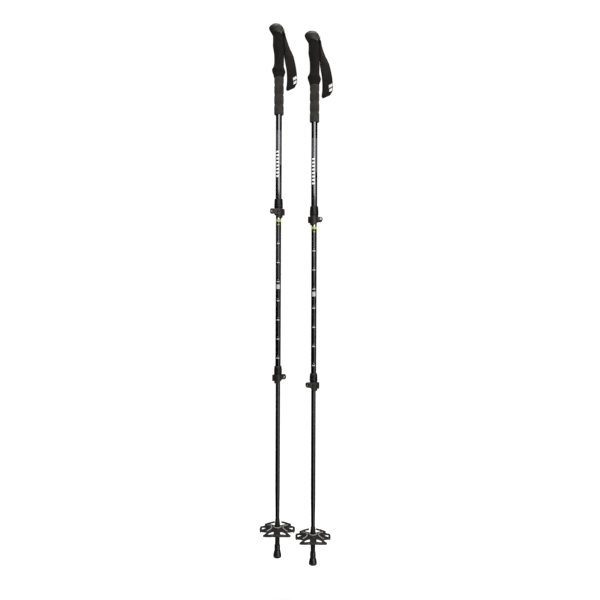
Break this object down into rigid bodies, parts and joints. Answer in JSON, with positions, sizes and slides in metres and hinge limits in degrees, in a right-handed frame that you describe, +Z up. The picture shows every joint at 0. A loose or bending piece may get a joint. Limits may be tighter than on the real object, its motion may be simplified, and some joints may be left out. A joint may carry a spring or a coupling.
{
  "type": "trekking poles",
  "caption": "Telescoping trekking poles with foam grips, wrist straps, side lever locks, notched baskets and rubber tip protectors, laid out as a matched pair.",
  "frame": {"origin": "on the right pole's tube axis, at the middle of its foam grip, where a hand holds it", "axes": "+Z up along the poles, towards the head caps; -X the way the grips' beaks point, forward in use; -Y the side that the pair shows"},
  "size_m": [0.1874, 0.0965, 1.419],
  "materials": {
    "anodised_black": "gloss black anodised tube",
    "cap_plastic": "charcoal moulded plastic",
    "grip_foam": "black closed-cell EVA foam",
    "extension_foam": "dark grey closed-cell EVA foam",
    "webbing": "black woven webbing",
    "badge_rubber": "light grey rubber badge",
    "light_plastic": "light grey moulded plastic",
    "lock_plastic": "charcoal moulded nylon",
    "steel": "bright plated steel",
    "inner_plastic": "black moulded nylon",
    "basket_plastic": "black satin flexible plastic",
    "ferrule_plastic": "black moulded nylon",
    "carbide": "grey ground tungsten carbide",
    "tip_rubber": "black smooth rubber"
  },
  "bodies": {
    "right_upper": {"right_upper_tube": "anodised_black", "right_grip_foam": "grip_foam", "right_grip_extension": "extension_foam", "right_head_cap": "cap_plastic", "right_head_plug": "inner_plastic", "right_strap_pin": "light_plastic", "right_upper_clamp": "lock_plastic", "right_upper_lever_pin": "steel"},
    "right_middle": {"right_middle_tube": "anodised_black", "right_middle_guide": "inner_plastic", "right_lower_clamp": "lock_plastic", "right_lower_lever_pin": "steel"},
    "right_lower": {"right_lower_tube": "anodised_black", "right_lower_guide": "inner_plastic", "right_ferrule": "ferrule_plastic", "right_carbide_tip": "carbide"},
    "right_upper_lever": {"right_upper_lever": "lock_plastic"},
    "right_lower_lever": {"right_lower_lever": "lock_plastic"},
    "right_upper_screw": {"right_upper_screw": "steel"},
    "right_lower_screw": {"right_lower_screw": "steel"},
    "right_basket": {"right_basket": "basket_plastic"},
    "right_tip_protector": {"right_tip_protector": "tip_rubber"},
    "right_strap": {"right_strap": "webbing", "right_strap_badge": "badge_rubber"},
    "right_strap_wedge": {"right_strap_wedge": "light_plastic"},
    "left_upper": {"left_upper_tube": "anodised_black", "left_grip_foam": "grip_foam", "left_grip_extension": "extension_foam", "left_head_cap": "cap_plastic", "left_head_plug": "inner_plastic", "left_strap_pin": "light_plastic", "left_upper_clamp": "lock_plastic", "left_upper_lever_pin": "steel"},
    "left_middle": {"left_middle_tube": "anodised_black", "left_middle_guide": "inner_plastic", "left_lower_clamp": "lock_plastic", "left_lower_lever_pin": "steel"},
    "left_lower": {"left_lower_tube": "anodised_black", "left_lower_guide": "inner_plastic", "left_ferrule": "ferrule_plastic", "left_carbide_tip": "carbide"},
    "left_upper_lever": {"left_upper_lever": "lock_plastic"},
    "left_lower_lever": {"left_lower_lever": "lock_plastic"},
    "left_upper_screw": {"left_upper_screw": "steel"},
    "left_lower_screw": {"left_lower_screw": "steel"},
    "left_basket": {"left_basket": "basket_plastic"},
    "left_tip_protector": {"left_tip_protector": "tip_rubber"},
    "left_strap": {"left_strap": "webbing", "left_strap_badge": "badge_rubber"},
    "left_strap_wedge": {"left_strap_wedge": "light_plastic"}
  },
  "joints": [
    {"name": "right_middle_slide", "type": "slide", "parent": "right_upper", "child": "right_middle", "axis": [0, 0, 1], "range_m": [0, 0.385]},
    {"name": "right_lower_slide", "type": "slide", "parent": "right_middle", "child": "right_lower", "axis": [0, 0, 1], "range_m": [0, 0.345]},
    {"name": "right_upper_lever_hinge", "type": "hinge", "parent": "right_upper", "child": "right_upper_lever", "pos_m": [0.0173, 0.01, -0.4027], "axis": [0, 0, -1], "range_deg": [0, 120]},
    {"name": "right_upper_screw_turn", "type": "hinge", "parent": "right_upper", "child": "right_upper_screw", "pos_m": [0.0173, 0, -0.4027], "axis": [0, -1, 0], "range_deg": [-180, 180]},
    {"name": "right_lower_lever_hinge", "type": "hinge", "parent": "right_middle", "child": "right_lower_lever", "pos_m": [-0.0163, -0.01, -0.8374], "axis": [0, 0, -1], "range_deg": [0, 120]},
    {"name": "right_lower_screw_turn", "type": "hinge", "parent": "right_middle", "child": "right_lower_screw", "pos_m": [-0.0163, 0, -0.8374], "axis": [0, 1, 0], "range_deg": [-180, 180]},
    {"name": "right_basket_turn", "type": "hinge", "parent": "right_lower", "child": "right_basket", "pos_m": [0, 0, -1.236], "axis": [0, 0, 1], "range_deg": [0, 360]},
    {"name": "right_tip_protector_pull", "type": "slide", "parent": "right_lower", "child": "right_tip_protector", "axis": [0, 0, -1], "range_m": [0, 0.045]},
    {"name": "right_strap_swing", "type": "hinge", "parent": "right_upper", "child": "right_strap", "pos_m": [0.0065, 0, 0.0625], "axis": [0, -1, 0], "range_deg": [0, 30]},
    {"name": "right_strap_wedge_slide", "type": "slide", "parent": "right_upper", "child": "right_strap_wedge", "axis": [1, 0, 0], "range_m": [0, 0.008]},
    {"name": "left_pole_lift", "type": "slide", "parent": "right_upper", "child": "left_upper", "axis": [0, 0, 1], "range_m": [0, 0.2]},
    {"name": "left_middle_slide", "type": "slide", "parent": "left_upper", "child": "left_middle", "axis": [0, 0, 1], "range_m": [0, 0.385]},
    {"name": "left_lower_slide", "type": "slide", "parent": "left_middle", "child": "left_lower", "axis": [0, 0, 1], "range_m": [0, 0.345]},
    {"name": "left_upper_lever_hinge", "type": "hinge", "parent": "left_upper", "child": "left_upper_lever", "pos_m": [-0.1108, -0.01, -0.3837], "axis": [0, 0, -1], "range_deg": [0, 120]},
    {"name": "left_upper_screw_turn", "type": "hinge", "parent": "left_upper", "child": "left_upper_screw", "pos_m": [-0.1108, 0, -0.3837], "axis": [0, 1, 0], "range_deg": [-180, 180]},
    {"name": "left_lower_lever_hinge", "type": "hinge", "parent": "left_middle", "child": "left_lower_lever", "pos_m": [-0.0772, 0.01, -0.8184], "axis": [0, 0, -1], "range_deg": [0, 120]},
    {"name": "left_lower_screw_turn", "type": "hinge", "parent": "left_middle", "child": "left_lower_screw", "pos_m": [-0.0772, 0, -0.8184], "axis": [0, -1, 0], "range_deg": [-180, 180]},
    {"name": "left_basket_turn", "type": "hinge", "parent": "left_lower", "child": "left_basket", "pos_m": [-0.0935, 0, -1.217], "axis": [0, 0, 1], "range_deg": [0, 360]},
    {"name": "left_tip_protector_pull", "type": "slide", "parent": "left_lower", "child": "left_tip_protector", "axis": [0, 0, -1], "range_m": [0, 0.045]},
    {"name": "left_strap_swing", "type": "hinge", "parent": "left_upper", "child": "left_strap", "pos_m": [-0.087, 0, 0.0815], "axis": [0, -1, 0], "range_deg": [0, 10]},
    {"name": "left_strap_wedge_slide", "type": "slide", "parent": "left_upper", "child": "left_strap_wedge", "axis": [1, 0, 0], "range_m": [0, 0.008]}
  ]
}
